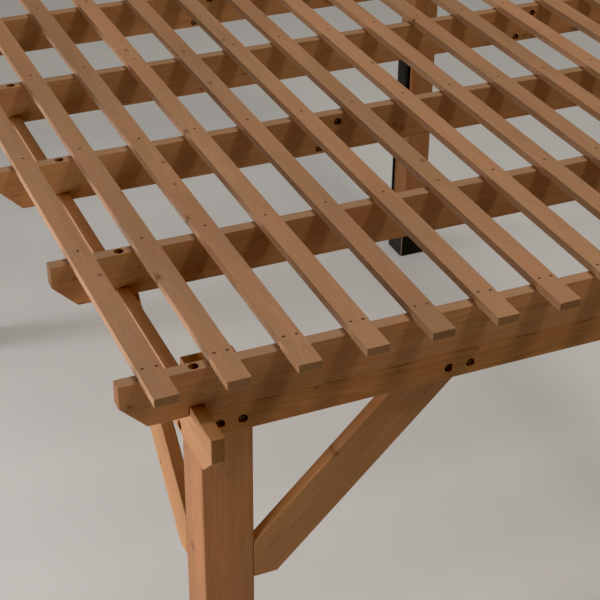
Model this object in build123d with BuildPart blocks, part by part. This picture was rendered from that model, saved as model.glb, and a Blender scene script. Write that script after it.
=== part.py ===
"""Wooden garden pergola.

Four posts stand in steel shoes.  Side beams run along the outside of the
posts, headers across their outer faces, and knee braces stiffen both ways.
Rafters on edge are notched over the side beams and carry narrow roof slats.

Millimetres.  X runs along the rafters (left to right), Y along the slats
(the front is -Y), Z is up.  The origin is on the ground, in the middle of
the plan.
"""
import os

from build123d import *

os.makedirs("parts", exist_ok=True)

# --------------------------------------------------------------- roof slats
slat_count = 18
slat_pitch = 185.0
slat_width = 65.0
slat_thick = 25.0
slat_overhang = 113.0          # past the outer face of the first rafter
roof_top = 2530.0              # top of the slats above the ground

# ------------------------------------------------- boards: rafters and beams
board_thick = 37.0
board_depth = 136.0

rafter_count = 8
rafter_pitch = 607.5
rafter_length = 3320.0
rafter_chamfer = 71.0          # lower corner cut off each tail
notch_depth = 27.0             # rafter let down over the side beam

beam_length = 4584.0
beam_chamfer = 64.0
beam_outer = 1478.0            # middle of the frame to the beam's outer face

header_depth = 81.0

# -------------------------------------------------------------------- posts
post_size = 145.0
post_ease = 4.0                # small flat on the long corners
post_foot = 6.0                # post end stands on the shoe's floor plate
post_above_beam = 30.0

# ------------------------------------------------------------------- braces
brace_depth = 136.0
brace_corner = 665.0           # roof top down to where the upper edge meets the post
brace_cut = 788.0              # roof top down to the level cut at the foot
beam_brace_corner = 640.0
beam_brace_cut = 776.0

# -------------------------------------------------------------- steel shoes
shoe_size = 172.0
shoe_height = 160.0
shoe_wall = 4.0
shoe_bevel = 9.0

# ------------------------------------------------- recesses for bolt heads
recess_dia = 26.0
recess_depth = 12.0
top_recess_depth = 45.0        # down into the rafter, over the side beam

header_bolt_dx = 31.0          # either side of the post's middle
header_bolt_drop = 208.0
brace_bolt_x = (746.0, 680.0)  # the pair that holds the top of each brace
beam_bolt_y = (1320.0, 1254.0)
beam_post_bolts = ((20.0, 22.0), (-20.0, 96.0))   # outwards from the post's middle, up the beam
splice_x = 553.0               # middle of the half-lap in a rafter
splice_half = 73.0
splice_gap = 0.6
splice_bolt_dx = 32.5
splice_bolt_drop = (55.0, 143.0)
spliced_left = (3, 5, 7, 8)    # the others are joined right of the middle

# --------------------------------------------------------------- outlet box
box_width = 122.0
box_height = 210.0
box_depth = 22.0
box_low = 1040.0
box_set_back = 11.0            # behind the post's front face
conduit_dia = 18.0
conduit_rise = 50.0            # past the underside of the box

# ------------------------------------------------------------ derived sizes
rafter_top = roof_top - slat_thick
rafter_under = rafter_top - board_depth
beam_top = rafter_under + notch_depth
beam_under = beam_top - board_depth
beam_inner = beam_outer - board_thick
beam_mid = beam_outer - board_thick / 2
header_under = rafter_under - header_depth
post_top = beam_top + post_above_beam

rafter_y = [(k - (rafter_count - 1) / 2) * rafter_pitch for k in range(rafter_count)]
slat_x = [(i - (slat_count - 1) / 2) * slat_pitch for i in range(slat_count)]
end_y = rafter_y[-1]                       # middle of the last rafter
outer_y = end_y + board_thick / 2          # its outer face
post_face_y = end_y - board_thick / 2      # outer face of the posts
post_y = post_face_y - post_size / 2
post_x = beam_inner - post_size / 2
slat_length = 2 * (outer_y + slat_overhang)
SIDES = (("left", -1), ("right", 1))
ENDS = (("front", -1), ("back", 1))


# -------------------------------------------------------------------- posts
for end, sy in ENDS:
    for side, sx in SIDES:
        with BuildPart() as post:
            with BuildSketch(Plane.XY.offset(post_foot)):
                with Locations((sx * post_x, sy * post_y)):
                    Rectangle(post_size, post_size)
            extrude(amount=post_top - post_foot)
            chamfer(post.edges().filter_by(Axis.Z), length=post_ease)
        post.part.label = f"post_{end}_{side}"
        export_step(post.part, f"parts/post_{end}_{side}.step")

# -------------------------------------------------------------- steel shoes
with BuildPart() as shoes:
    with BuildSketch(Plane.XY):
        with GridLocations(2 * post_x, 2 * post_y, 2, 2):
            Rectangle(shoe_size, shoe_size)
    extrude(amount=shoe_height)
    chamfer(
        shoes.faces().filter_by(Axis.Z).group_by(Axis.Z)[-1].edges(), length=shoe_bevel
    )
    chamfer(shoes.edges().filter_by(Axis.Z), length=1.5)
    # room inside the folded cover, over the floor plate and under its lip
    with BuildSketch(Plane.XY.offset(post_foot)):
        with GridLocations(2 * post_x, 2 * post_y, 2, 2):
            Rectangle(shoe_size - 2 * shoe_wall, shoe_size - 2 * shoe_wall)
    extrude(amount=shoe_height - post_foot - shoe_bevel - 3, mode=Mode.SUBTRACT)
    with BuildSketch(Plane.XY.offset(post_foot)):
        with GridLocations(2 * post_x, 2 * post_y, 2, 2):
            Rectangle(post_size, post_size)
    extrude(amount=shoe_height, mode=Mode.SUBTRACT)
shoes.part.label = "post_shoes"
export_step(shoes.part, "parts/post_shoes.step")

# --------------------------------------------------------------- side beams
for side, sx in SIDES:
    half = beam_length / 2
    with BuildPart() as beam:
        with BuildSketch(Plane.YZ.offset(sx * beam_mid)):
            with BuildLine():
                Polyline(
                    (-half, beam_top),
                    (half, beam_top),
                    (half, beam_under + beam_chamfer),
                    (half - beam_chamfer, beam_under),
                    (-half + beam_chamfer, beam_under),
                    (-half, beam_under + beam_chamfer),
                    close=True,
                )
            make_face()
        extrude(amount=board_thick / 2, both=True)
        # recesses on the outer face for the bolts into the beam braces
        with BuildSketch(Plane.YZ.offset(sx * beam_outer)):
            for y in beam_bolt_y:
                with Locations((y, beam_under + 66), (-y, beam_under + 66)):
                    Circle(recess_dia / 2)
            # and for the two that hold the beam to each post
            for out, up in beam_post_bolts:
                y = post_y + out
                with Locations((y, beam_under + up), (-y, beam_under + up)):
                    Circle(recess_dia / 2)
        extrude(amount=-sx * recess_depth, mode=Mode.SUBTRACT)
    beam.part.label = f"side_beam_{side}"
    export_step(beam.part, f"parts/side_beam_{side}.step")

# ------------------------------------------------------------------ headers
for end, sy in ENDS:
    with BuildPart() as header:
        with BuildSketch(Plane.XY.offset(header_under)):
            with Locations((0, sy * end_y)):
                Rectangle(2 * beam_inner, board_thick)
        extrude(amount=header_depth)
        # recesses on the outer face: a pair at each post and at each brace
        with BuildSketch(Plane.XZ.offset(-sy * outer_y)):
            for sx in (-1, 1):
                with Locations(
                    (sx * (post_x - header_bolt_dx), roof_top - header_bolt_drop),
                    (sx * (post_x + header_bolt_dx), roof_top - header_bolt_drop),
                    (sx * brace_bolt_x[0], roof_top - header_bolt_drop),
                    (sx * brace_bolt_x[1], roof_top - header_bolt_drop),
                ):
                    Circle(recess_dia / 2)
        extrude(amount=sy * recess_depth, mode=Mode.SUBTRACT)
    header.part.label = f"header_{end}"
    export_step(header.part, f"parts/header_{end}.step")

# ------------------------------------------------------------------ rafters
# Each rafter is two boards half-lapped together and bolted through the lap.
for k, y in enumerate(rafter_y, start=1):
    half = rafter_length / 2
    lap = -splice_x if k in spliced_left else splice_x
    with BuildPart() as rafter:
        with BuildSketch(Plane.XZ.offset(-y)):
            with BuildLine():
                Polyline(
                    (-half, rafter_top),
                    (half, rafter_top),
                    (half, rafter_under + rafter_chamfer),
                    (half - rafter_chamfer, rafter_under),
                    (beam_outer, rafter_under),
                    (beam_outer, beam_top),
                    (beam_inner, beam_top),
                    (beam_inner, rafter_under),
                    (-beam_inner, rafter_under),
                    (-beam_inner, beam_top),
                    (-beam_outer, beam_top),
                    (-beam_outer, rafter_under),
                    (-half + rafter_chamfer, rafter_under),
                    (-half, rafter_under + rafter_chamfer),
                    close=True,
                )
            make_face()
        extrude(amount=board_thick / 2, both=True)
        # the joint between the two boards, seen from above as a flat Z
        front = y - board_thick / 2 - 1
        back = y + board_thick / 2 + 1
        g = splice_gap / 2
        with BuildSketch(Plane.XY.offset(rafter_under - 1)):
            with BuildLine():
                Polyline(
                    (lap + splice_half - g, front),
                    (lap + splice_half + g, front),
                    (lap + splice_half + g, y + g),
                    (lap - splice_half + g, y + g),
                    (lap - splice_half + g, back),
                    (lap - splice_half - g, back),
                    (lap - splice_half - g, y - g),
                    (lap + splice_half - g, y - g),
                    close=True,
                )
            make_face()
        extrude(amount=board_depth + 2, mode=Mode.SUBTRACT)
        # recesses for the splice bolts, in the front face; the last rafter
        # has them in its outer face, at the back
        face = 1 if k == rafter_count else -1
        with BuildSketch(Plane.XZ.offset(-(y + face * board_thick / 2))):
            with Locations(
                (lap + splice_bolt_dx, roof_top - splice_bolt_drop[0]),
                (lap - splice_bolt_dx, roof_top - splice_bolt_drop[1]),
            ):
                Circle(recess_dia / 2)
        extrude(amount=face * recess_depth, mode=Mode.SUBTRACT)
        # deep recesses in the top for the bolts down into the side beams
        with BuildSketch(Plane.XY.offset(rafter_top)):
            with Locations((-beam_mid, y), (beam_mid, y)):
                Circle(recess_dia / 2)
        extrude(amount=-top_recess_depth, mode=Mode.SUBTRACT)
    rafter.part.label = f"rafter_{k}"
    export_step(rafter.part, f"parts/rafter_{k}.step")

# --------------------------------------------------------------- roof slats
for i, x in enumerate(slat_x, start=1):
    with BuildPart() as slat:
        with BuildSketch(Plane.XY.offset(rafter_top)):
            with Locations((x, 0)):
                Rectangle(slat_width, slat_length)
        extrude(amount=slat_thick)
    slat.part.label = f"roof_slat_{i:02d}"
    export_step(slat.part, f"parts/roof_slat_{i:02d}.step")

# ----------------------------------------- knee braces behind the headers
rise = brace_depth * 2 ** 0.5              # board depth measured upright
for end, sy in ENDS:
    for side, sx in SIDES:
        a = post_x - post_size / 2         # inner face of the post
        top = rafter_under
        corner = roof_top - brace_corner
        cut = roof_top - brace_cut
        with BuildPart() as brace:
            with BuildSketch(Plane.XZ.offset(-sy * (post_face_y - board_thick / 2))):
                with BuildLine():
                    Polyline(
                        (sx * a, corner),
                        (sx * (a - (top - corner)), top),
                        (sx * (a - (top - corner) - rise), top),
                        (sx * (a - (cut - corner) - rise), cut),
                        (sx * a, cut),
                        close=True,
                    )
                make_face()
            extrude(amount=board_thick / 2, both=True)
        brace.part.label = f"header_brace_{end}_{side}"
        export_step(brace.part, f"parts/header_brace_{end}_{side}.step")

# ------------------------------------------- knee braces inside side beams
for end, sy in ENDS:
    for side, sx in SIDES:
        a = post_y - post_size / 2         # inner face of the post
        top = rafter_under
        corner = roof_top - beam_brace_corner
        cut = roof_top - beam_brace_cut
        with BuildPart() as brace:
            with BuildSketch(Plane.YZ.offset(sx * (beam_inner - board_thick / 2))):
                with BuildLine():
                    Polyline(
                        (sy * a, corner),
                        (sy * (a - (top - corner)), top),
                        (sy * (a - (top - corner) - rise), top),
                        (sy * (a - (cut - corner) - rise), cut),
                        (sy * a, cut),
                        close=True,
                    )
                make_face()
            extrude(amount=board_thick / 2, both=True)
        brace.part.label = f"beam_brace_{end}_{side}"
        export_step(brace.part, f"parts/beam_brace_{end}_{side}.step")

# --------------------------------- outlet box and its conduit on one post
face_x = post_x - post_size / 2
box_y = post_y - post_size / 2 + box_set_back + box_width / 2
with BuildPart() as outlet:
    with BuildSketch(Plane.XY.offset(box_low)):
        with Locations((face_x - box_depth / 2, box_y)):
            Rectangle(box_depth, box_width)
    extrude(amount=box_height)
    chamfer(
        outlet.faces().sort_by(Axis.X)[0].edges(), length=3
    )
outlet.part.label = "outlet_box"
export_step(outlet.part, "parts/outlet_box.step")

# the conduit rises from the shoe beside the box and turns into its back side
conduit_y = box_y + box_width / 2 + conduit_dia / 2
with BuildPart() as conduit:
    with BuildSketch(Plane.XY.offset(shoe_height)):
        with Locations((face_x - conduit_dia / 2, conduit_y)):
            Circle(conduit_dia / 2)
    extrude(amount=box_low + conduit_rise - shoe_height)
    fillet(conduit.edges().filter_by(GeomType.CIRCLE).sort_by(Axis.Z)[-1], radius=6)
conduit.part.label = "outlet_conduit"
export_step(conduit.part, "parts/outlet_conduit.step")
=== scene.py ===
import math
import random

import bmesh
import bpy
from mathutils import Matrix, Vector


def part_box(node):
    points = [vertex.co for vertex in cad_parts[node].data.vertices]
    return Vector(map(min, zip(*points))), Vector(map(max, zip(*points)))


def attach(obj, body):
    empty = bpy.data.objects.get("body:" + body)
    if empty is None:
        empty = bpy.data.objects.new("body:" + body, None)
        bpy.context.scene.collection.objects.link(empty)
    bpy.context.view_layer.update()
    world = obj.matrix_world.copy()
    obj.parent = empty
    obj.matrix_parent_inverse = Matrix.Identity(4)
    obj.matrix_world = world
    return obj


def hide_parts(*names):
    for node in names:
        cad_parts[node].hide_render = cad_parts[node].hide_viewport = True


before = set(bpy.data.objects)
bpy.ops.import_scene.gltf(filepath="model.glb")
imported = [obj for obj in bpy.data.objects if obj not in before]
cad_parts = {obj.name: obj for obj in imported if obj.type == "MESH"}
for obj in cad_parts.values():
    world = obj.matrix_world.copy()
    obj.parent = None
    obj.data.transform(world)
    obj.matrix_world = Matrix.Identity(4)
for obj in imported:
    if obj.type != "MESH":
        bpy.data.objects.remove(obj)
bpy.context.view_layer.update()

rnd = random.Random(41)

# ------------------------------------------------------------------ camera
# The photograph's view: from the front left, 32 degrees down, long lens.
YAW, PITCH, ROLL = 0.4141, 0.5585, -0.0114
cam_data = bpy.data.cameras.new("view_camera")
cam_data.sensor_width = 36.0
cam_data.lens = 89.40
cam_data.clip_start, cam_data.clip_end = 0.1, 200.0
camera = bpy.data.objects.new("view_camera", cam_data)
bpy.context.scene.collection.objects.link(camera)
ahead = Vector((math.sin(YAW) * math.cos(PITCH), math.cos(YAW) * math.cos(PITCH), -math.sin(PITCH)))
level = Vector((math.cos(YAW), -math.sin(YAW), 0))
down = ahead.cross(level)
right = math.cos(ROLL) * level + math.sin(ROLL) * down
below = -math.sin(ROLL) * level + math.cos(ROLL) * down
spin = Matrix((right, -below, -ahead)).transposed().to_4x4()
camera.matrix_world = Matrix.Translation((-2.4337, -4.9889, 4.5821)) @ spin
bpy.context.scene.camera = camera


# ------------------------------------------------------------ node helpers
class Graph:
    """Builds a shader graph with short calls. A value is a socket or a number."""

    def __init__(self, name):
        self.mat = bpy.data.materials.new(name)
        self.mat.use_nodes = True
        self.tree = self.mat.node_tree
        self.tree.nodes.clear()
        self.out = self.tree.nodes.new("ShaderNodeOutputMaterial")
        self.bsdf = self.tree.nodes.new("ShaderNodeBsdfPrincipled")
        self.tree.links.new(self.bsdf.outputs["BSDF"], self.out.inputs["Surface"])

    def put(self, socket, value):
        if isinstance(value, bpy.types.NodeSocket):
            self.tree.links.new(value, socket)
        elif value is not None:
            socket.default_value = value

    def node(self, kind, **settings):
        n = self.tree.nodes.new(kind)
        for key, value in settings.items():
            setattr(n, key, value)
        return n

    def math(self, op, a, b=None, c=None, clamp=False):
        n = self.node("ShaderNodeMath", operation=op, use_clamp=clamp)
        self.put(n.inputs[0], a)
        self.put(n.inputs[1], b)
        self.put(n.inputs[2], c)
        return n.outputs[0]

    def vec(self, op, a, b=None, scale=None):
        n = self.node("ShaderNodeVectorMath", operation=op)
        self.put(n.inputs[0], a)
        if b is not None:
            self.put(n.inputs[1], b)
        if scale is not None:
            self.put(n.inputs["Scale"], scale)
        return n.outputs["Value"] if op in ("DOT_PRODUCT", "LENGTH", "DISTANCE") else n.outputs[0]

    def split(self, v):
        n = self.node("ShaderNodeSeparateXYZ")
        self.put(n.inputs[0], v)
        return n.outputs

    def join(self, x, y, z=0.0):
        n = self.node("ShaderNodeCombineXYZ")
        self.put(n.inputs[0], x)
        self.put(n.inputs[1], y)
        self.put(n.inputs[2], z)
        return n.outputs[0]

    def step(self, value, lo, hi, out_lo=0.0, out_hi=1.0, smooth=True):
        n = self.node("ShaderNodeMapRange", interpolation_type="SMOOTHSTEP" if smooth else "LINEAR")
        for i, v in enumerate((value, lo, hi, out_lo, out_hi)):
            self.put(n.inputs[i], v)
        return n.outputs[0]

    def noise(self, vector, scale=1.0, detail=2.0, rough=0.5, distort=0.0, dims="3D"):
        n = self.node("ShaderNodeTexNoise", noise_dimensions=dims)
        self.put(n.inputs["Vector"], vector)
        n.inputs["Scale"].default_value = scale
        n.inputs["Detail"].default_value = detail
        n.inputs["Roughness"].default_value = rough
        n.inputs["Distortion"].default_value = distort
        return n.outputs[0]

    def mix(self, fac, a, b, blend="MIX"):
        n = self.node("ShaderNodeMix", data_type="RGBA", blend_type=blend)
        self.put(n.inputs[0], fac)
        self.put(n.inputs[6], a)
        self.put(n.inputs[7], b)
        return n.outputs[2]

    def attribute(self, name):
        return self.node("ShaderNodeAttribute", attribute_type="GEOMETRY", attribute_name=name).outputs["Vector"]

    def bump(self, height, distance, strength=1.0, normal=None):
        n = self.node("ShaderNodeBump")
        n.inputs["Strength"].default_value = strength
        n.inputs["Distance"].default_value = distance
        self.put(n.inputs["Height"], height)
        if normal is not None:
            self.put(n.inputs["Normal"], normal)
        return n.outputs[0]


def rgb(r, g, b):
    return (r, g, b, 1.0)


# -------------------------------------------------------------------- wood
def wood(name, light, dark, red, knot=(0.092, 0.024, 0.006), ring=0.0034, knot_share=0.16,
         knot_size=(0.004, 0.011), knots=(), contrast=1.0, rough=0.60, sky_face_paling=0.0, end_shade=0.9, hue=0.55, relief=0.48, wear=0.32):
    """Stained sawn timber, cut from a log: rings round a pith, knots that run out
    from it, fibres along it.  The boards carry their own place in the log as
    vertex data.  knots is a list of (along, across, radius) on the wide face."""
    g = Graph(name)
    grain = g.attribute("grain")            # metres from a pith, x along the grain
    place = g.attribute("place")            # metres from the board's middle
    half = g.attribute("half")              # half the board's sizes
    tone = g.split(g.attribute("tone"))     # value, redness, contrast of this board
    gx, gy, gz = g.split(grain)[0:3]
    lx, ly, lz = g.split(place)[0:3]
    hx, hy, hz = g.split(half)[0:3]

    radius = g.math("SQRT", g.math("ADD", g.math("MULTIPLY", gy, gy), g.math("MULTIPLY", gz, gz)))
    angle = g.math("ARCTAN2", gy, gz)

    # knots: one feature point in each cell of the unrolled log
    cell_x, cell_a = 0.29, 0.82
    cells = g.node("ShaderNodeTexVoronoi", voronoi_dimensions="2D", feature="F1")
    cells.inputs["Scale"].default_value = 1.0
    g.put(cells.inputs["Vector"], g.join(g.math("DIVIDE", gx, cell_x), g.math("DIVIDE", angle, cell_a)))
    cell_rnd = g.node("ShaderNodeSeparateColor")
    g.put(cell_rnd.inputs[0], cells.outputs["Color"])
    feature = g.split(cells.outputs["Position"])
    dx = g.math("SUBTRACT", gx, g.math("MULTIPLY", feature[0], cell_x))
    da = g.math("MULTIPLY", g.math("SUBTRACT", angle, g.math("MULTIPLY", feature[1], cell_a)), radius)
    # a slow wobble keeps knots from being true circles
    wobble = g.noise(g.vec("MULTIPLY", place, (70.0, 110.0, 110.0)), detail=2.0)
    dx = g.math("MULTIPLY", dx, 0.66)
    dist = g.math("SQRT", g.math("ADD", g.math("MULTIPLY", dx, dx), g.math("MULTIPLY", da, da)))
    dist = g.math("ADD", dist, g.math("MULTIPLY", g.math("SUBTRACT", wobble, 0.5), 0.007))
    size = g.step(cell_rnd.outputs[1], 0.0, 1.0, knot_size[0], knot_size[1], smooth=False)
    on = g.math("LESS_THAN", cell_rnd.outputs[0], knot_share)
    # distances are scaled so that 1 is the knot's rim
    near = g.math("ADD", g.math("DIVIDE", dist, size), g.math("MULTIPLY", g.math("SUBTRACT", 1.0, on), 50.0))
    bulge = g.math("MULTIPLY", size, on)
    for kx, ky, kr in knots:
        ex = g.math("MULTIPLY", g.math("SUBTRACT", lx, kx), 0.58)
        ey = g.math("SUBTRACT", ly, ky)
        e = g.math("SQRT", g.math("ADD", g.math("MULTIPLY", ex, ex), g.math("MULTIPLY", ey, ey)))
        e = g.math("ADD", e, g.math("MULTIPLY", g.math("SUBTRACT", wobble, 0.5), 1.3 * kr))
        e = g.math("DIVIDE", e, kr)
        nearer = g.math("LESS_THAN", e, near)
        bulge = g.math("ADD", g.math("MULTIPLY", nearer, kr), g.math("MULTIPLY", g.math("SUBTRACT", 1.0, nearer), bulge))
        near = g.math("MINIMUM", near, e)
    core = g.step(near, 0.66, 1.10, 1.0, 0.0)
    rim = g.math("MULTIPLY", g.step(near, 0.55, 0.95), g.step(near, 0.98, 1.45, 1.0, 0.0))
    halo = g.step(near, 1.0, 3.4, 1.0, 0.0)
    push = g.math("MULTIPLY", bulge, g.math("EXPONENT", g.math("MULTIPLY", g.math("MULTIPLY", near, near), -0.16)))

    # year rings, bent round the knots and never quite even
    warp = g.noise(g.vec("MULTIPLY", grain, (1.3, 7.0, 7.0)), detail=2.0)
    warp2 = g.noise(g.vec("MULTIPLY", grain, (5.0, 34.0, 34.0)), detail=2.0)
    log = g.math("ADD", radius, g.math("MULTIPLY", g.math("SUBTRACT", warp, 0.5), 0.034))
    log = g.math("ADD", log, g.math("MULTIPLY", g.math("SUBTRACT", warp2, 0.5), 0.0035))
    log = g.math("ADD", log, g.math("MULTIPLY", push, 1.6))
    turns = g.math("DIVIDE", log, ring)
    in_ring = g.math("FRACT", turns)
    which = g.node("ShaderNodeTexWhiteNoise", noise_dimensions="1D")
    g.put(which.inputs["W"], g.math("FLOOR", turns))
    late = g.math("MULTIPLY", g.step(in_ring, 0.30, 0.88), g.step(in_ring, 0.93, 1.0, 1.0, 0.0))
    late = g.math("MULTIPLY", late, g.step(which.outputs[0], 0.0, 1.0, 0.45, 1.0, smooth=False))
    bands = g.noise(g.join(g.math("MULTIPLY", gx, 0.5), g.math("MULTIPLY", log, 75.0), 0.0), detail=2.0)

    # fibres and slow colour changes
    fine = g.noise(g.vec("MULTIPLY", grain, (9.0, 620.0, 620.0)), detail=3.0, rough=0.6)
    streak = g.noise(g.vec("MULTIPLY", grain, (1.1, 95.0, 95.0)), detail=3.0, rough=0.55)
    patch = g.noise(g.vec("MULTIPLY", grain, (2.4, 13.0, 13.0)), detail=3.0, rough=0.55)
    broad = g.noise(g.vec("MULTIPLY", grain, (0.8, 3.5, 3.5)), detail=1.0)

    colour = g.mix(g.math("MULTIPLY", late, 0.52 * contrast, clamp=True), rgb(*light), rgb(*dark))
    colour = g.mix(g.math("MULTIPLY", g.step(bands, 0.42, 0.72), 0.38 * contrast), colour, rgb(*dark))
    colour = g.mix(g.math("MULTIPLY", g.step(streak, 0.50, 0.74), 0.34 * contrast), colour, rgb(*red))
    redness = g.math("ADD", g.math("MULTIPLY", g.step(patch, 0.40, 0.72), 0.40), tone[1], clamp=True)
    colour = g.mix(redness, colour, rgb(*red))
    shade = g.step(fine, 0.25, 0.80, 1.12, 0.86, smooth=False)
    shade = g.math("MULTIPLY", shade, g.step(broad, 0.30, 0.70, 1.10, 0.88))
    shade = g.math("MULTIPLY", shade, tone[0])
    # bark-brown flecks where a fibre has torn
    fleck = g.noise(g.vec("MULTIPLY", grain, (26.0, 300.0, 300.0)), detail=1.0)
    shade = g.math("MULTIPLY", shade, g.step(fleck, 0.74, 0.80, 1.0, 0.62))
    colour = g.mix(1.0, colour, g.join(shade, shade, shade), "MULTIPLY")

    # the stain dried a little greener here, a little pinker there
    drift = g.noise(g.vec("MULTIPLY", grain, (4.6, 15.0, 15.0)), detail=2.5, distort=0.7)
    colour = g.mix(g.math("MULTIPLY", g.step(drift, 0.49, 0.64), hue), colour,
                   g.mix(1.0, colour, rgb(0.91, 0.98, 0.90), "MULTIPLY"))
    colour = g.mix(g.math("MULTIPLY", g.step(drift, 0.51, 0.37), hue), colour,
                   g.mix(1.0, colour, rgb(1.06, 0.965, 0.93), "MULTIPLY"))

    # knots on top: reddish halo, dark rim, brown heart with its own rings
    heart = g.math("SINE", g.math("MULTIPLY", near, 17.0))
    heart = g.step(heart, -1.0, 1.0, 0.75, 1.35)
    knot_colour = g.mix(1.0, rgb(knot[0] * 2.0, knot[1] * 2.0, knot[2] * 2.0), g.join(heart, heart, heart), "MULTIPLY")
    colour = g.mix(g.math("MULTIPLY", halo, 0.34), colour, rgb(*[0.6 * c for c in red]))
    colour = g.mix(g.math("MULTIPLY", core, 0.60), colour, knot_colour)
    colour = g.mix(g.math("MULTIPLY", rim, 0.50), colour, rgb(*knot))

    # cut ends drink more stain and come out darker; an end_shade above 1 lightens them instead, which is painted light
    # lifting end grain that lies in shade
    along = g.attribute("along")
    geometry = g.node("ShaderNodeNewGeometry")
    cut = g.math("ABSOLUTE", g.vec("DOT_PRODUCT", geometry.outputs["Normal"], along))
    end = g.step(cut, 0.30, 0.85)
    end_speck = g.step(g.noise(g.vec("MULTIPLY", grain, (500.0, 900.0, 900.0)), detail=2.0), 0.3, 0.7,
                       0.66 * end_shade, 1.0 * end_shade)
    soaked = g.join(end_speck, g.math("MULTIPLY", end_speck, 0.95), g.math("MULTIPLY", end_speck, 0.80))
    colour = g.mix(end, colour, g.mix(1.0, colour, soaked, "MULTIPLY"))

    # painted light: faces turned to the sky are mixed towards a paler grey-brown, standing in for the light that falls
    # on the tops
    up = g.split(geometry.outputs["Normal"])[2]
    colour = g.mix(g.math("MULTIPLY", g.step(up, 0.75, 0.98), sky_face_paling), colour, rgb(0.46, 0.30, 0.19))

    # worn arrises: distance to the nearest long edge, then to the ends
    ea = g.math("SUBTRACT", hy, g.math("ABSOLUTE", ly))
    eb = g.math("SUBTRACT", hz, g.math("ABSOLUTE", lz))
    ec = g.math("SUBTRACT", hx, g.math("ABSOLUTE", lx))
    nearest = g.math("MAXIMUM", g.math("MINIMUM", ea, eb), g.math("MINIMUM", g.math("MAXIMUM", ea, eb), ec))
    ragged = g.noise(g.vec("MULTIPLY", grain, (14.0, 90.0, 90.0)), detail=3.0, rough=0.65)
    worn = g.math("MULTIPLY", g.step(nearest, 0.0006, 0.0040, 1.0, 0.0), g.step(ragged, 0.30, 0.72))
    colour = g.mix(g.math("MULTIPLY", worn, wear), colour, rgb(*[min(1.0, 1.45 * c + 0.02) for c in light]))

    g.put(g.bsdf.inputs["Base Color"], colour)
    gloss = g.math("ADD", g.step(fine, 0.2, 0.8, rough - 0.08, rough + 0.10, smooth=False), g.math("MULTIPLY", end, 0.16))
    gloss = g.math("SUBTRACT", gloss, g.math("MULTIPLY", core, 0.12))
    g.put(g.bsdf.inputs["Roughness"], gloss)
    g.bsdf.inputs["Specular IOR Level"].default_value = 0.34
    height = g.math("MULTIPLY", fine, 0.55)
    height = g.math("ADD", height, g.math("MULTIPLY", late, 0.40))
    height = g.math("ADD", height, g.math("MULTIPLY", streak, 0.60))
    height = g.math("SUBTRACT", height, g.math("MULTIPLY", rim, 0.9))
    height = g.math("SUBTRACT", height, g.math("MULTIPLY", g.step(fleck, 0.72, 0.80), 0.8))
    height = g.math("ADD", height, g.math("MULTIPLY", g.math("MULTIPLY", end, end_speck), 0.7))
    g.put(g.bsdf.inputs["Normal"], g.bump(height, 0.0007, relief))
    return g.mat


def metal(name, base, worn_colour, rough, metallic=0.9, scale=1.0):
    """Coated steel: mottled coat, bright where the coat is worn through, orange-peel bump."""
    g = Graph(name)
    where = g.node("ShaderNodeTexCoord").outputs["Object"]
    mottle = g.noise(where, scale=34.0 * scale, detail=4.0, rough=0.6)
    peel = g.noise(where, scale=900.0 * scale, detail=2.0)
    rub = g.noise(where, scale=150.0 * scale, detail=4.0, rough=0.7)
    colour = g.mix(g.step(mottle, 0.35, 0.70), rgb(*base), rgb(*[1.7 * c + 0.004 for c in base]))
    colour = g.mix(g.math("MULTIPLY", g.step(rub, 0.62, 0.74), 0.5), colour, rgb(*worn_colour))
    g.put(g.bsdf.inputs["Base Color"], colour)
    g.bsdf.inputs["Metallic"].default_value = metallic
    g.put(g.bsdf.inputs["Roughness"], g.step(mottle, 0.3, 0.7, rough - 0.07, rough + 0.10))
    g.put(g.bsdf.inputs["Normal"], g.bump(g.math("ADD", peel, g.math("MULTIPLY", rub, 0.6)), 0.0003, 0.35))
    return g.mat


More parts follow.
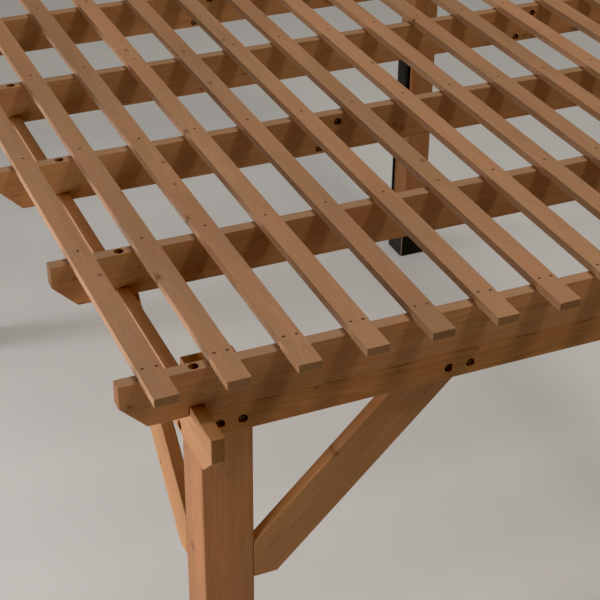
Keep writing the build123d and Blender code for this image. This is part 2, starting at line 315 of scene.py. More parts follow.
def powder_coat(name, base, rough, dust=(0.20, 0.17, 0.14), corner_highlight=None):
    """Black powder coat or moulded plastic: fine texture, scuffs, a little dust.
    The optional corner colour is a painted highlight on the upright corners, made ragged by the scuff noise, standing
    in for the lamps' glint on the rounded corners."""
    g = Graph(name)
    where = g.node("ShaderNodeTexCoord").outputs["Object"]
    geometry = g.node("ShaderNodeNewGeometry")
    nx, ny, up = g.split(geometry.outputs["Normal"])[0:3]
    cloud = g.noise(where, scale=9.0, detail=5.0, rough=0.6)
    fine = g.noise(where, scale=1300.0, detail=1.0)
    scuff = g.noise(g.vec("MULTIPLY", where, (60.0, 60.0, 420.0)), detail=3.0, rough=0.7)
    colour = g.mix(g.step(cloud, 0.35, 0.72), rgb(*base), rgb(*[1.8 * c + 0.002 for c in base]))
    colour = g.mix(g.math("MULTIPLY", g.step(scuff, 0.66, 0.80), 0.25), colour, rgb(0.06, 0.058, 0.055))
    settle = g.math("MULTIPLY", g.step(up, 0.15, 0.9), g.step(cloud, 0.30, 0.75, 0.12, 0.42))
    low = g.step(g.split(where)[2], 0.0, 0.07, 0.30, 0.0)
    dirt = g.math("ADD", settle, g.math("MULTIPLY", low, g.step(scuff, 0.3, 0.7)), clamp=True)
    colour = g.mix(dirt, colour, rgb(*dust))
    # painted highlight: a pale colour laid on the upright corners of the coat, standing in for the lamps' glint there
    if corner_highlight:
        turn_of = g.math("MULTIPLY", g.math("ABSOLUTE", nx), g.math("ABSOLUTE", ny))
        corner_glint = g.math("MULTIPLY", g.step(turn_of, 0.16, 0.40), g.step(scuff, 0.30, 0.60, 0.35, 1.0))
        colour = g.mix(g.math("MULTIPLY", corner_glint, 0.9), colour, rgb(*corner_highlight))
    g.put(g.bsdf.inputs["Base Color"], colour)
    g.put(g.bsdf.inputs["Roughness"], g.math("ADD", g.step(cloud, 0.3, 0.7, rough - 0.06, rough + 0.08), g.math("MULTIPLY", dirt, 0.25)))
    g.bsdf.inputs["Specular IOR Level"].default_value = 0.34
    g.put(g.bsdf.inputs["Normal"], g.bump(g.math("ADD", fine, g.math("MULTIPLY", scuff, 0.5)), 0.00025, 0.45))
    return g.mat


# BEAM, POST and HEADER are more saturated than SLAT, and POST and HEADER darker: partly the boards' own stain, partly
# painted shade for the fronts and sides that are seen in shade
SLAT = dict(light=(0.466, 0.252, 0.134), dark=(0.327, 0.162, 0.078), red=(0.396, 0.192, 0.092))
BEAM = dict(light=(0.455, 0.217, 0.086), dark=(0.268, 0.113, 0.038), red=(0.352, 0.143, 0.049))
POST = dict(light=(0.408, 0.177, 0.068), dark=(0.263, 0.101, 0.034), red=(0.343, 0.129, 0.044))
HEADER = dict(light=(0.435, 0.192, 0.062), dark=(0.256, 0.100, 0.028), red=(0.336, 0.127, 0.036))

mat_slat = wood("stained_slat_wood", knot_share=0.05, knot_size=(0.0015, 0.0045), contrast=0.55, rough=0.64, end_shade=0.72, hue=0.50, relief=0.26, wear=0.20, **SLAT)
# the rafters' tops are painted paler: painted light from above, laid on the faces turned to the sky
mat_rafter = wood("stained_rafter_wood", knot_share=0.07, knot_size=(0.002, 0.007), contrast=0.85, sky_face_paling=0.50, **BEAM)
mat_beam = wood("stained_beam_wood", knot_share=0.08, knot_size=(0.003, 0.008), contrast=0.9, end_shade=0.75, **BEAM)
mat_header = wood("stained_header_wood", knot_share=0.08, knot_size=(0.003, 0.008), contrast=0.9, end_shade=0.75, **HEADER)
# end_shade 1.15 paints the post tops lighter than their faces: painted light on end grain that lies in shade under the
# rafters
mat_post = wood("stained_post_wood", knot_share=0.10, knot_size=(0.003, 0.009), ring=0.0042, contrast=0.8, end_shade=1.15, **POST)
mat_brace = wood("stained_brace_wood", knot_share=0.08, knot_size=(0.003, 0.008), contrast=0.9, **BEAM)
mat_screw = metal("bronze_coated_screw_steel", (0.150, 0.075, 0.040), (0.34, 0.22, 0.14), 0.50, metallic=0.45)
mat_bolt = metal("brown_zinc_bolt_steel", (0.125, 0.075, 0.048), (0.34, 0.24, 0.16), 0.42, metallic=0.70)
# the black shoes carry a painted highlight on their upright corners
mat_shoe = powder_coat("black_powder_coated_steel", (0.0030, 0.0026, 0.0020), 0.38, (0.070, 0.056, 0.040),
                        corner_highlight=(0.36, 0.25, 0.19))
mat_box = powder_coat("black_moulded_plastic", (0.0035, 0.0032, 0.0028), 0.50, (0.070, 0.058, 0.044))


# ---------------------------------------------------------- mesh utilities
def link(name, mesh):
    obj = bpy.data.objects.new(name, mesh)
    bpy.context.scene.collection.objects.link(obj)
    return obj


def mesh_from(bm, name):
    bmesh.ops.recalc_face_normals(bm, faces=bm.faces)
    mesh = bpy.data.meshes.new(name)
    bm.to_mesh(mesh)
    bm.free()
    return mesh


def ring_shape(kind, r, t):
    """Radius of a circle, hexagon or six-lobed star at the angle t."""
    if kind == "hex":
        return r / math.cos((t + math.pi / 6) % (math.pi / 3) - math.pi / 6)
    if kind == "star":
        return r * (1 + 0.20 * math.cos(6 * t))
    return r


def turn(bm, place, rings, segs=24, start_cap=True, end_cap=True, slot=0):
    """Adds a turned solid: rings is a list of (kind, radius, height)."""
    rows = []
    for kind, r, z in rings:
        row = []
        for i in range(segs):
            t = 2 * math.pi * i / segs
            q = ring_shape(kind, r, t)
            row.append(bm.verts.new(place @ Vector((q * math.cos(t), q * math.sin(t), z))))
        rows.append(row)
    faces = []
    for a, b in zip(rows, rows[1:]):
        for i in range(segs):
            j = (i + 1) % segs
            faces.append(bm.faces.new((a[i], a[j], b[j], b[i])))
    if start_cap:
        faces.append(bm.faces.new(rows[0][::-1]))
    if end_cap:
        faces.append(bm.faces.new(rows[-1]))
    for f in faces:
        f.material_index = slot
    return faces


def aim(point, outwards, roll=0.0):
    """A matrix at point with +Z along outwards."""
    z = Vector(outwards).normalized()
    return Matrix.Translation(point) @ z.to_track_quat("Z", "Y").to_matrix().to_4x4() @ Matrix.Rotation(roll, 4, "Z")


def recess_cutter(bm, point, outwards, radius, depth, lip=0.0008, segs=28):
    """A round pocket with a small broken edge at its mouth."""
    turn(bm, aim(point, outwards), [
        ("circle", radius + lip, 0.004), ("circle", radius + lip, 0.0), ("circle", radius, -lip),
        ("circle", radius, -depth)], segs)


def screw_cutter(bm, point, outwards):
    """The countersink that a screw head pulls itself into."""
    turn(bm, aim(point, outwards), [
        ("circle", 0.0050, 0.003), ("circle", 0.0050, 0.0), ("circle", 0.0045, -0.0006),
        ("circle", 0.0042, -0.0046)], 16)


def screw_head(bm, point, outwards, roll):
    """Countersunk head with a star drive, sunk just under the surface."""
    turn(bm, aim(point, outwards, roll), [
        ("circle", 0.0020, -0.0044), ("circle", 0.0041, -0.0011), ("circle", 0.0041, -0.0007),
        ("circle", 0.0037, -0.0004), ("star", 0.0017, -0.0005), ("star", 0.0015, -0.0016)], 24)


def bolt_head(bm, point, outwards, roll, deep=0.012, radius=0.013):
    """Washer and domed hexagon-socket head at the bottom of a pocket."""
    turn(bm, aim(point, outwards, roll), [
        ("circle", radius - 0.0012, -deep), ("circle", radius - 0.0012, -deep + 0.0016),
        ("circle", radius - 0.0017, -deep + 0.0021), ("circle", 0.0088, -deep + 0.0021),
        ("circle", 0.0088, -deep + 0.0034), ("circle", 0.0080, -deep + 0.0056),
        ("circle", 0.0062, -deep + 0.0070), ("circle", 0.0047, -deep + 0.0074),
        ("hex", 0.0034, -deep + 0.0073), ("hex", 0.0032, -deep + 0.0038)], 24)


def subtract(obj, cutter):
    """Takes the cutter away from the piece and keeps the result as its mesh."""
    m = obj.modifiers.new("cut", "BOOLEAN")
    m.operation, m.solver, m.object = "DIFFERENCE", "EXACT", cutter
    graph = bpy.context.evaluated_depsgraph_get()
    mesh = bpy.data.meshes.new_from_object(obj.evaluated_get(graph))
    obj.modifiers.clear()
    old = obj.data
    obj.data = mesh
    bpy.data.meshes.remove(old)
    tool = cutter.data
    bpy.data.objects.remove(cutter)
    bpy.data.meshes.remove(tool)


def finish_shading(obj, angle=38):
    for p in obj.data.polygons:
        p.use_smooth = True
    obj.data.set_sharp_from_angle(angle=math.radians(angle))
    w = obj.modifiers.new("face_weighted_shading", "WEIGHTED_NORMAL")
    w.keep_sharp = True
    w.weight = 70


# ------------------------------------------------------------------ boards
def sway(bow, at, half_length):
    """Sideways bend of a board at a distance from its middle."""
    return bow * (math.sin(math.pi * (at / (2 * half_length) + 0.5)) - 0.5)


def local_spot(outline, along, facing, point):
    """Where a world point lies on the wide face of a board: (along, across)."""
    x = Vector(along).normalized()
    y = Vector(facing).normalized().cross(x)
    spot = []
    for axis in (x, y):
        reach = [axis.dot(Vector(p)) for p in outline]
        spot.append(axis.dot(Vector(point)) - (min(reach) + max(reach)) / 2)
    return tuple(spot)


def board(name, outline, along, facing, thick, mat, node, pockets=(), screws=(), ease=0.0028,
          pith=None, value=1.0, redness=0.0, bow=0.0, blocks=(), step=0.30):
    """A timber cut to an outline (world points on its middle plane), with eased
    arrises, pockets for bolts, countersinks for screws and its place in a log.
    blocks are extra prisms taken away: (plan points, low, high) in world X, Y."""
    x = Vector(along).normalized()
    z = Vector(facing).normalized()
    y = z.cross(x)
    turn_to_world = Matrix((x, y, z)).transposed()
    flat = [turn_to_world.transposed() @ Vector(p) for p in outline]
    lo = [min(p[i] for p in flat) for i in range(3)]
    hi = [max(p[i] for p in flat) for i in range(3)]
    middle = Vector(((lo[0] + hi[0]) / 2, (lo[1] + hi[1]) / 2, (lo[2] + hi[2]) / 2))
    to_world = turn_to_world.to_4x4() @ Matrix.Translation(middle)
    to_local = to_world.inverted()
    size = Vector(((hi[0] - lo[0]) / 2, (hi[1] - lo[1]) / 2, thick / 2))

    bm = bmesh.new()
    low = [bm.verts.new((p[0] - middle[0], p[1] - middle[1], -thick / 2)) for p in flat]
    top = [bm.verts.new((p[0] - middle[0], p[1] - middle[1], thick / 2)) for p in flat]
    bm.faces.new(low[::-1])
    bm.faces.new(top)
    for i in range(len(flat)):
        j = (i + 1) % len(flat)
        bm.faces.new((low[i], low[j], top[j], top[i]))
    bmesh.ops.recalc_face_normals(bm, faces=bm.faces)
    bm.normal_update()
    convex = [e for e in bm.edges if e.is_convex and e.calc_face_angle(0) > 0.3]
    bmesh.ops.bevel(bm, geom=convex, offset=ease, segments=3, profile=0.55, affect="EDGES", clamp_overlap=True)
    pieces = max(2, int(round(2 * size.x / step)))
    for i in range(1, pieces):
        at = -size.x + 2 * size.x * i / pieces
        geom = bm.verts[:] + bm.edges[:] + bm.faces[:]
        bmesh.ops.bisect_plane(bm, geom=geom, plane_co=(at, 0, 0), plane_no=(1, 0, 0), dist=1e-6)
    obj = link(name, mesh_from(bm, name))

    if pockets or screws or blocks:
        tool = bmesh.new()
        turned = to_local.to_3x3()
        for point, out, radius, depth in pockets:
            recess_cutter(tool, to_local @ Vector(point), turned @ Vector(out), radius, depth)
        for point, out in screws:
            screw_cutter(tool, to_local @ Vector(point), turned @ Vector(out))
        if pockets or screws:
            subtract(obj, link("cutter", mesh_from(tool, "cutter")))
        else:
            tool.free()
        for plan, zlo, zhi in blocks:
            tool = bmesh.new()
            a = [tool.verts.new(to_local @ Vector((px, py, zlo))) for px, py in plan]
            b = [tool.verts.new(to_local @ Vector((px, py, zhi))) for px, py in plan]
            tool.faces.new(a[::-1])
            tool.faces.new(b)
            for i in range(len(a)):
                j = (i + 1) % len(a)
                tool.faces.new((a[i], a[j], b[j], b[i]))
            subtract(obj, link("cutter", mesh_from(tool, "cutter")))

    mesh = obj.data
    if pith is None:
        side = rnd.choice((-1, 1))
        pith = (rnd.uniform(-0.03, 0.03), -side * rnd.uniform(0.035, 0.11))
    start = rnd.uniform(0, 60)
    data = {n: [] for n in ("grain", "place", "half", "tone", "along")}
    for v in mesh.vertices:
        p = v.co
        data["place"] += p[:]
        data["grain"] += (p.x + start, p.y - pith[0], p.z - pith[1])
        data["half"] += size[:]
        data["tone"] += (value, redness, 1.0)
        data["along"] += x[:]
        p.y += sway(bow, p.x, size.x)
    for key, values in data.items():
        mesh.attributes.new(key, "FLOAT_VECTOR", "POINT")
        mesh.attributes[key].data.foreach_set("vector", values)
    mesh.transform(to_world)
    mesh.materials.clear()
    mesh.materials.append(mat)
    finish_shading(obj)
    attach(obj, "root")
    if node:
        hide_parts(node)
    return obj


X, Y, Z = Vector((1, 0, 0)), Vector((0, 1, 0)), Vector((0, 0, 1))
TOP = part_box("roof_slat_01")[1].z
screw_places = []          # (point, outwards) for every small screw
bolt_places = []           # (point, outwards, depth of its pocket) for every bolt

rafters = [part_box(f"rafter_{k}") for k in range(1, 9)]
rafter_top = rafters[0][1].z
rafter_low = rafters[0][0].z
rafter_mid = [(lo.y + hi.y) / 2 for lo, hi in rafters]
board_thick = rafters[0][1].y - rafters[0][0].y
beam_lo, beam_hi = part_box("side_beam_left")
beam_outer, beam_inner = -beam_lo.x, -beam_hi.x
beam_top, beam_low = beam_hi.z, beam_lo.z
beam_mid = (beam_outer + beam_inner) / 2

# -------------------------------------------------------------- roof slats
# (tone, redness, sideways bow in metres) for each slat, left to right
slat_look = [(1.00, 0.02, 0.0008), (1.02, 0.00, -0.0010), (0.98, 0.05, 0.0012), (1.03, 0.00, 0.0006),
             (0.97, 0.06, -0.0012), (1.04, 0.00, 0.0010), (1.00, 0.10, 0.0014), (1.05, 0.02, -0.0008),
             (1.03, 0.06, 0.0010), (1.06, 0.03, -0.0012), (1.04, 0.08, 0.0006), (1.07, 0.02, 0.0010),
             (1.02, 0.05, -0.0010), (1.05, 0.00, 0.0012), (0.99, 0.08, 0.0008), (1.03, 0.02, -0.0010),
             (1.00, 0.05, 0.0008), (1.02, 0.03, -0.0006)]
# world places of marks that can be seen on single slats: (x, y, radius)
slat_marks = {
    1: [(-1.555, -1.663, 0.0030)],
    2: [(-1.415, -1.731, 0.0060), (-1.357, -1.242, 0.0035)],
    3: [(-1.233, -1.453, 0.0045), (-1.182, -1.096, 0.0035), (-1.197, -1.245, 0.0030)],
    4: [(-1.046, -0.917, 0.0050)],
    5: [(-0.844, -0.594, 0.0040)],
    6: [(-0.667, -0.254, 0.0035)],
    10: [(0.064, -0.335, 0.0045)],
}
for i in range(1, 19):
    node = f"roof_slat_{i:02d}"
    lo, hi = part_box(node)
    mx, mz = (lo.x + hi.x) / 2, (lo.z + hi.z) / 2
    inset = rnd.uniform(0.0, 0.0020)
    y0, y1 = lo.y + inset, hi.y - rnd.uniform(0.0, 0.0020)
    outline = [(lo.x, y0, mz), (hi.x, y0, mz), (hi.x, y1, mz), (lo.x, y1, mz)]
    heads = []
    for k, ry in enumerate(rafter_mid):
        last = k in (0, 7)
        for s in ((-0.0162, 0.0182) if last else (rnd.uniform(-0.006, 0.004),)):
            stray = 0.0008 if last else 0.0020
            heads.append((Vector((mx + s + rnd.uniform(-stray, stray), ry + rnd.uniform(-2.5, 2.5) * stray, hi.z)), Z))
    value, redness, bow = slat_look[i - 1]
    screw_places += [(p - X * sway(bow, p.y, (y1 - y0) / 2), Z) for p, out in heads]
    mat = mat_slat
    if i in slat_marks:
        marks = [local_spot(outline, Y, Z, (px, py, mz)) + (r,) for px, py, r in slat_marks[i]]
        mat = wood(f"stained_slat_wood_{i:02d}", knot_share=0.03, knot_size=(0.0015, 0.0045), contrast=0.55, rough=0.64,
                   end_shade=0.72, hue=0.50, relief=0.26, wear=0.20, knots=marks, **SLAT)
    board(f"{node}_timber", outline, Y, Z, hi.z - lo.z, mat, node, screws=heads,
          ease=0.0024, value=value, redness=redness, bow=bow,
          pith=(rnd.uniform(-0.02, 0.02), -rnd.uniform(0.03, 0.10) if rnd.random() < 0.7 else rnd.uniform(0.03, 0.10)))

# ------------------------------------------------------------------ rafters
TAIL = 0.071
rafter_look = [(1.00, 0.05, 1.03, 0.00), (1.02, 0.04, 0.98, 0.08), (1.04, 0.00, 1.00, 0.06), (0.98, 0.08, 1.03, 0.02),
               (1.03, 0.03, 0.99, 0.06), (1.00, 0.05, 1.04, 0.00), (0.99, 0.07, 1.02, 0.03), (1.01, 0.04, 0.98, 0.07)]
# marks on the fronts of single rafters: (x, z, radius), on the left board
rafter_marks = {
    1: [(-1.631, 2.441, 0.0028)],
    2: [(-1.595, 2.457, 0.0032), (-1.579, 2.372, 0.0035), (-1.406, 2.452, 0.0030)],
    3: [(-0.309, 2.426, 0.0040)],
    4: [(-0.614, 2.417, 0.0032), (-0.780, 2.384, 0.0032), (0.560, 2.388, 0.0040)],
}
SPLICE_X, SPLICE_HALF, SPLICE_GAP = 0.553, 0.073, 0.0006
for k in range(1, 9):
    node = f"rafter_{k}"
    lo, hi = rafters[k - 1]
    y = rafter_mid[k - 1]
    left_lap = k in (3, 5, 7, 8)
    lap = -SPLICE_X if left_lap else SPLICE_X
    face = 1 if k == 8 else -1
    n = 0.0018                              # the notch is cut a little slack
    outline = [
        (lo.x, y, rafter_top), (hi.x, y, rafter_top), (hi.x, y, rafter_low + TAIL), (hi.x - TAIL, y, rafter_low),
        (beam_outer + n, y, rafter_low), (beam_outer + n, y, beam_top + 0.0004), (beam_inner - n, y, beam_top + 0.0004),
        (beam_inner - n, y, rafter_low), (-beam_inner + n, y, rafter_low), (-beam_inner + n, y, beam_top + 0.0004),
        (-beam_outer - n, y, beam_top + 0.0004), (-beam_outer - n, y, rafter_low), (lo.x + TAIL, y, rafter_low),
        (lo.x, y, rafter_low + TAIL)]
    pockets = [((sx * beam_mid, y, rafter_top), Z, 0.0132, 0.045) for sx in (-1, 1)]
    bolts = [((sx * beam_mid, y, rafter_top), Z, 0.045) for sx in (-1, 1)]
    for dx, drop in ((0.0325, 0.055), (-0.0325, 0.143)):
        p = (lap + dx, y + face * board_thick / 2, TOP - drop)
        pockets.append((p, (0, face, 0), 0.0132, 0.012))
        bolts.append((p, (0, face, 0), 0.012))
    bolt_places += bolts
    y0, y1 = y - board_thick, y + board_thick
    g = SPLICE_GAP / 2
    cut_right = [(lap + SPLICE_HALF - g, y0), (3.0, y0), (3.0, y1), (lap - SPLICE_HALF - g, y1), (lap - SPLICE_HALF - g, y - g),
                 (lap + SPLICE_HALF - g, y - g)]
    cut_left = [(-3.0, y0), (lap + SPLICE_HALF + g, y0), (lap + SPLICE_HALF + g, y + g), (lap - SPLICE_HALF + g, y + g),
                (lap - SPLICE_HALF + g, y1), (-3.0, y1)]
    look = rafter_look[k - 1]
    for side, plan, value, redness, which in (("left", cut_right, look[0], look[1], 0), ("right", cut_left, look[2], look[3], 1)):
        mat = mat_rafter
        if k in rafter_marks:
            marks = [local_spot(outline, X, -Y, (px, y, pz)) + (r,) for px, pz, r in rafter_marks[k]]
            # the rafters' tops are painted paler here too: painted light from above on the faces turned to the sky
            mat = wood(f"stained_rafter_wood_{k}_{side}", knot_share=0.03, knot_size=(0.002, 0.006), contrast=0.85,
                       sky_face_paling=0.50, knots=marks, **BEAM)
        # rafters 2 to 8 take 0.77 of their tone, rafter 1 takes 0.98: painted shade for the rafters that lie in shade
        # under the slats
        board(f"{node}_{side}_timber", outline, X, -Y, board_thick, mat, node, pockets=pockets,
              value=value * (0.98 if k == 1 else 0.77), redness=redness, blocks=[(plan, 2.0, 3.0)], ease=0.0030)

# --------------------------------------------------------------- side beams
CUT = 0.064
for side, sx in (("left", -1), ("right", 1)):
    node = f"side_beam_{side}"
    lo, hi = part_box(node)
    mx = (lo.x + hi.x) / 2
    outline = [(mx, lo.y, hi.z), (mx, hi.y, hi.z), (mx, hi.y, lo.z + CUT), (mx, hi.y - CUT, lo.z), (mx, lo.y + CUT, lo.z),
               (mx, lo.y, lo.z + CUT)]
    pockets = []
    for by, up in ((1.320, 0.066), (1.254, 0.066), (2.05525, 0.022), (2.01525, 0.096)):
        for sy in (-1, 1):
            p = (sx * beam_outer, sy * by, lo.z + up)
            pockets.append((p, (sx, 0, 0), 0.0132, 0.012))
            bolt_places.append((p, (sx, 0, 0), 0.012))
    board(f"{node}_timber", outline, Y, X, hi.x - lo.x, mat_beam, node, pockets=pockets,
          value=1.02, redness=0.03, ease=0.0030)

# ------------------------------------------------------------------ headers
POST_X = (beam_inner - 0.0725)
for end, sy in (("front", -1), ("back", 1)):
    node = f"header_{end}"
    lo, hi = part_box(node)
    my = (lo.y + hi.y) / 2
    outline = [(lo.x, my, lo.z), (hi.x, my, lo.z), (hi.x, my, hi.z), (lo.x, my, hi.z)]
    pockets = []
    face_y = lo.y if sy < 0 else hi.y
    for sx in (-1, 1):
        for bx in (POST_X - 0.031, POST_X + 0.031, 0.746, 0.680):
            p = (sx * bx, face_y, TOP - 0.208)
            pockets.append((p, (0, sy, 0), 0.0132, 0.012))
            bolt_places.append((p, (0, sy, 0), 0.012))
    mat = mat_header
    if end == "front":
        marks = [local_spot(outline, X, -Y, (px, my, pz)) + (r,) for px, pz, r in
                 ((-0.897, 2.351, 0.0035), (-1.134, 2.363, 0.0038), (-0.665, 2.362, 0.0026))]
        mat = wood("stained_header_wood_front", knot_share=0.02, knots=marks, **HEADER)
    board(f"{node}_timber", outline, X, -Y, hi.y - lo.y, mat, node, pockets=pockets, value=0.98, redness=0.04)

# -------------------------------------------------------------------- posts
post_look = {"front_left": (0.96, 0.02), "front_right": (1.00, 0.05), "back_left": (0.99, 0.04), "back_right": (1.06, 0.03)}
for tag, (value, redness) in post_look.items():
    node = f"post_{tag}"
    lo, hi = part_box(node)
    mx = (lo.x + hi.x) / 2
    outline = [(mx, lo.y, lo.z), (mx, hi.y, lo.z), (mx, hi.y, hi.z), (mx, lo.y, hi.z)]
    mat = mat_post
    if tag == "front_left":
        marks = [local_spot(outline, Z, -X, (mx, py, pz)) + (r,) for py, pz, r in
                 ((-1.986, 2.200, 0.0035), (-1.972, 2.141, 0.0030), (-2.060, 1.450, 0.0070))]
        # end_shade 1.15 paints this post's top lighter than its faces: painted light on end grain that lies in shade
        mat = wood("stained_post_wood_front_left", knot_share=0.06, knot_size=(0.003, 0.008), ring=0.0042,
                   contrast=0.8, end_shade=1.15, knots=marks, **POST)
    board(f"{node}_timber", outline, Z, -X, hi.x - lo.x, mat, node, value=value, redness=redness, ease=0.0045,
          pith=(rnd.uniform(-0.03, 0.03), rnd.uniform(-0.03, 0.03)))

# ------------------------------------------------------------------- braces
RISE = 0.136 * math.sqrt(2)
for end, sy in (("front", -1), ("back", 1)):
    for side, sx in (("left", -1), ("right", 1)):
        node = f"header_brace_{end}_{side}"
        lo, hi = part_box(node)
        my = (lo.y + hi.y) / 2
        a = POST_X - 0.0725
        up, knee, foot = hi.z, TOP - 0.665, lo.z
        outline = [(sx * a, my, knee), (sx * (a - (up - knee)), my, up), (sx * (a - (up - knee) - RISE), my, up),
                   (sx * (a - (foot - knee) - RISE), my, foot), (sx * a, my, foot)]
        mat = mat_brace
        if end == "front" and side == "left":
            marks = [local_spot(outline, (-sx, 0, 1), -Y, (-1.055, my, 2.099)) + (0.0045,)]
            mat = wood("stained_brace_wood_front_left", knot_share=0.03, contrast=0.9, knots=marks, **BEAM)
        board(f"{node}_timber", outline, (-sx, 0, 1), -Y, hi.y - lo.y, mat, node,
              value=1.04, redness=0.03, ease=0.0030)

        node = f"beam_brace_{end}_{side}"
        lo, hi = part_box(node)
        mx = (lo.x + hi.x) / 2
        a = 1.9625 + 0.00025
        up, knee, foot = hi.z, TOP - 0.640, lo.z
        outline = [(mx, sy * a, knee), (mx, sy * (a - (up - knee)), up), (mx, sy * (a - (up - knee) - RISE), up),
                   (mx, sy * (a - (foot - knee) - RISE), foot), (mx, sy * a, foot)]
        board(f"{node}_timber", outline, (0, -sy, 1), X, hi.x - lo.x, mat_brace, node,
              value=1.10, redness=0.02, ease=0.0030)

# ----------------------------------------------------------- screws, bolts
bm = bmesh.new()
for point, out in screw_places:
    screw_head(bm, point, out, rnd.uniform(0, 1))
screws = link("slat_screws", mesh_from(bm, "slat_screws"))
screws.data.materials.append(mat_screw)
finish_shading(screws, 30)
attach(screws, "root")

bm = bmesh.new()
for point, out, deep in bolt_places:
    bolt_head(bm, Vector(point), out, rnd.uniform(0, 1), deep)
bolts = link("frame_bolts", mesh_from(bm, "frame_bolts"))
bolts.data.materials.append(mat_bolt)
finish_shading(bolts, 30)
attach(bolts, "root")


# -------------------------------------------------------------- steel shoes
def rounded_square(half_side, radius, z, n=6):
    """Points round a square with rounded corners."""
    pts = []
    for cx, cy, start in ((1, 1, 0), (-1, 1, 90), (-1, -1, 180), (1, -1, 270)):
        for i in range(n + 1):
            t = math.radians(start + 90 * i / n)
            r = max(radius, 0.0002)
            pts.append(Vector((cx * (half_side - r) + r * math.cos(t), cy * (half_side - r) + r * math.sin(t), z)))
    return pts


shoe_lo, shoe_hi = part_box("post_shoes")
SHOE = 0.172
bm = bmesh.new()
for sx in (-1, 1):
    for sy in (-1, 1):
        centre = Vector((sx * (shoe_hi.x - SHOE / 2), sy * (shoe_hi.y - SHOE / 2), 0))
        h, top = SHOE / 2, shoe_hi.z
        rings = [(h - 0.010, 0.002, 0.0), (h - 0.0008, 0.0070, 0.0), (h, 0.0078, 0.0008), (h, 0.0078, top - 0.0100),
                 (h - 0.0008, 0.0072, top - 0.0082), (h - 0.0085, 0.003, top - 0.0006), (h - 0.0100, 0.002, top),
                 (0.0729, 0.0012, top), (0.0727, 0.0010, top - 0.004), (0.0727, 0.0010, 0.008)]
        rows = [[bm.verts.new(centre + p) for p in rounded_square(*r)] for r in rings]
        m = len(rows[0])
        for a, b in zip(rows, rows[1:]):
            for i in range(m):
                j = (i + 1) % m
                bm.faces.new((a[i], a[j], b[j], b[i]))
        bm.faces.new(rows[0][::-1])
        bm.faces.new(rows[-1])
shoes = link("post_shoe_covers", mesh_from(bm, "post_shoe_covers"))
shoes.data.materials.append(mat_shoe)
finish_shading(shoes, 40)
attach(shoes, "root")
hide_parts("post_shoes")

# ----------------------------------------------- outlet box and its conduit
lo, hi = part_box("outlet_box")
centre = (lo + hi) / 2


def plate(bm, x0, x1, half_y, half_z, radius, soft=0.0012, n=5):
    """A rounded plate between x0 (post side) and x1 (outer side), softened at x1."""
    rows = []
    for x, grow in ((x0, 0.0), (x1 + soft, 0.0), (x1 + 0.3 * soft, -0.35 * soft), (x1, -soft)):
        row = []
        for cy, cz, start in ((1, 1, 0), (-1, 1, 90), (-1, -1, 180), (1, -1, 270)):
            for i in range(n + 1):
                t = math.radians(start + 90 * i / n)
                r = max(radius + grow, 0.0003)
                row.append(bm.verts.new((x, centre.y + cy * (half_y + grow - r) + r * math.cos(t),
                                         centre.z + cz * (half_z + grow - r) + r * math.sin(t))))
        rows.append(row)
    m = len(rows[0])
    for a, b in zip(rows, rows[1:]):
        for i in range(m):
            j = (i + 1) % m
            bm.faces.new((a[i], a[j], b[j], b[i]))
    bm.faces.new(rows[0])
    bm.faces.new(rows[-1])


hy, hz = (hi.y - lo.y) / 2, (hi.z - lo.z) / 2
bm = bmesh.new()
plate(bm, hi.x, hi.x - 0.0045, hy, hz, 0.007)                              # back plate
plate(bm, hi.x - 0.0040, hi.x - 0.0105, hy - 0.003, hz - 0.004, 0.006)     # body
plate(bm, hi.x - 0.0112, lo.x + 0.0022, hy - 0.004, hz - 0.008, 0.010, soft=0.0030)   # lid
plate(bm, lo.x + 0.0030, lo.x, hy - 0.020, hz - 0.030, 0.008, soft=0.0016)            # raised panel
for sy in (-1, 1):                                                         # hinge knuckles
    turn(bm, aim((hi.x - 0.0105, centre.y + sy * 0.034, hi.z - 0.006), Y),
         [("circle", 0.0046, -0.014), ("circle", 0.0050, -0.013), ("circle", 0.0050, 0.013), ("circle", 0.0046, 0.014)], 16)
turn(bm, aim((lo.x + 0.0032, centre.y, lo.z + 0.016), -X),                 # latch
     [("circle", 0.0100, -0.004), ("circle", 0.0100, 0.0004), ("circle", 0.0090, 0.0016), ("hex", 0.0048, 0.0016),
      ("hex", 0.0044, 0.0002)], 24)
for sy in (-1, 1):                                                         # fixing screws
    for sz in (-1, 1):
        turn(bm, aim((hi.x - 0.0045, centre.y + sy * (hy - 0.0050), centre.z + sz * (hz - 0.0050)), -X),
             [("circle", 0.0030, -0.001), ("circle", 0.0030, 0.0004), ("circle", 0.0022, 0.0012), ("star", 0.0011, 0.0012),
              ("star", 0.0010, 0.0003)], 12)
outlet = link("outlet_box_with_lid", mesh_from(bm, "outlet_box_with_lid"))
outlet.data.materials.append(mat_box)
finish_shading(outlet, 35)
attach(outlet, "root")
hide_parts("outlet_box")

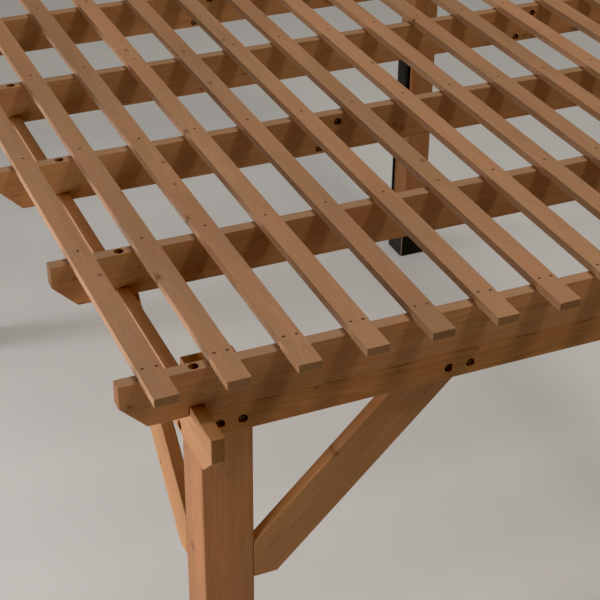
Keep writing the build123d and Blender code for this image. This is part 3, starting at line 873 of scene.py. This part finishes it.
lo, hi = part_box("outlet_conduit")
mx, my, r = (lo.x + hi.x) / 2, (lo.y + hi.y) / 2, (hi.x - lo.x) / 2
bm = bmesh.new()
q = r - 0.0014
turn(bm, aim((mx, my, 0), Z), [
    ("circle", r, lo.z), ("circle", r, lo.z + 0.034), ("circle", r - 0.0008, lo.z + 0.036), ("circle", q, lo.z + 0.036),
    ("circle", q, hi.z - 0.050), ("circle", r - 0.0008, hi.z - 0.050), ("circle", r, hi.z - 0.048), ("circle", r, hi.z - 0.008),
    ("circle", r - 0.0016, hi.z - 0.003), ("circle", r - 0.0050, hi.z)], 28)
for z in (0.36, 0.62, 0.88):                                               # saddle clips
    turn(bm, aim((mx, my, 0), Z), [
        ("circle", q, z - 0.008), ("circle", r - 0.0001, z - 0.0078), ("circle", r - 0.0001, z + 0.0078), ("circle", q, z + 0.008)],
         28, False, False)
conduit = link("outlet_conduit_tube", mesh_from(bm, "outlet_conduit_tube"))
conduit.data.materials.append(mat_box)
finish_shading(conduit, 35)
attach(conduit, "root")
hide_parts("outlet_conduit")

# ------------------------------------------------------------ floor, light
g = Graph("pale_floor")
where = g.node("ShaderNodeTexCoord").outputs["Object"]
cloud = g.noise(where, scale=0.8, detail=3.0)
g.put(g.bsdf.inputs["Base Color"], g.mix(g.step(cloud, 0.3, 0.7), rgb(0.80, 0.80, 0.79), rgb(0.84, 0.84, 0.83)))
g.bsdf.inputs["Roughness"].default_value = 0.9
g.bsdf.inputs["Specular IOR Level"].default_value = 0.1
g.bsdf.inputs["Emission Color"].default_value = (1.0, 0.98, 0.95, 1.0)
g.bsdf.inputs["Emission Strength"].default_value = 0.10
bm = bmesh.new()
bmesh.ops.create_grid(bm, x_segments=2, y_segments=2, size=60)
floor = link("studio_floor", mesh_from(bm, "studio_floor"))
floor.data.materials.append(g.mat)
floor.location.z = -0.0005

world = bpy.data.worlds.new("studio_world")
world.use_nodes = True
world.node_tree.nodes["Background"].inputs["Color"].default_value = (1.0, 0.91, 0.76, 1)
world.node_tree.nodes["Background"].inputs["Strength"].default_value = 0.088
bpy.context.scene.world = world


def lamp(name, place, target, size, power, colour=(1, 1, 1), spread=180):
    data = bpy.data.lights.new(name, "AREA")
    data.shape, data.size, data.size_y = "RECTANGLE", size[0], size[1]
    data.energy, data.color, data.spread = power, colour, math.radians(spread)
    obj = bpy.data.objects.new(name, data)
    bpy.context.scene.collection.objects.link(obj)
    obj.location = place
    obj.rotation_euler = (Vector(target) - Vector(place)).to_track_quat("-Z", "Y").to_euler()
    obj.visible_camera = False


lamp("left_near", (-3.4, -2.6, 1.8), (-1.45, -1.9, 2.4), (0.9, 0.9), 27)
lamp("left_far", (-5.85, 2.52, 1.56), (-1.3, -0.3, 2.4), (1.6, 1.2), 90, spread=120)
lamp("left_soft", (-7.5, -1.0, 4.6), (-0.5, -1.0, 2.4), (4.0, 2.5), 24)
lamp("overhead", (1.90, -4.47, 9.34), (-0.6, -1.0, 2.4), (1.5, 1.5), 208, (1.0, 0.93, 0.84))
lamp("soft_top", (-0.3, 0.8, 8.5), (-0.3, -0.3, 2.4), (6.0, 6.0), 150, (1.0, 0.98, 0.95))

scene = bpy.context.scene
scene.view_settings.view_transform = "Standard"
scene.view_settings.look = "None"
scene.view_settings.exposure = 0.0
scene.view_settings.use_curve_mapping = True
scene.view_settings.curve_mapping.black_level = (0.008, 0.008, 0.008)
scene.view_settings.curve_mapping.update()
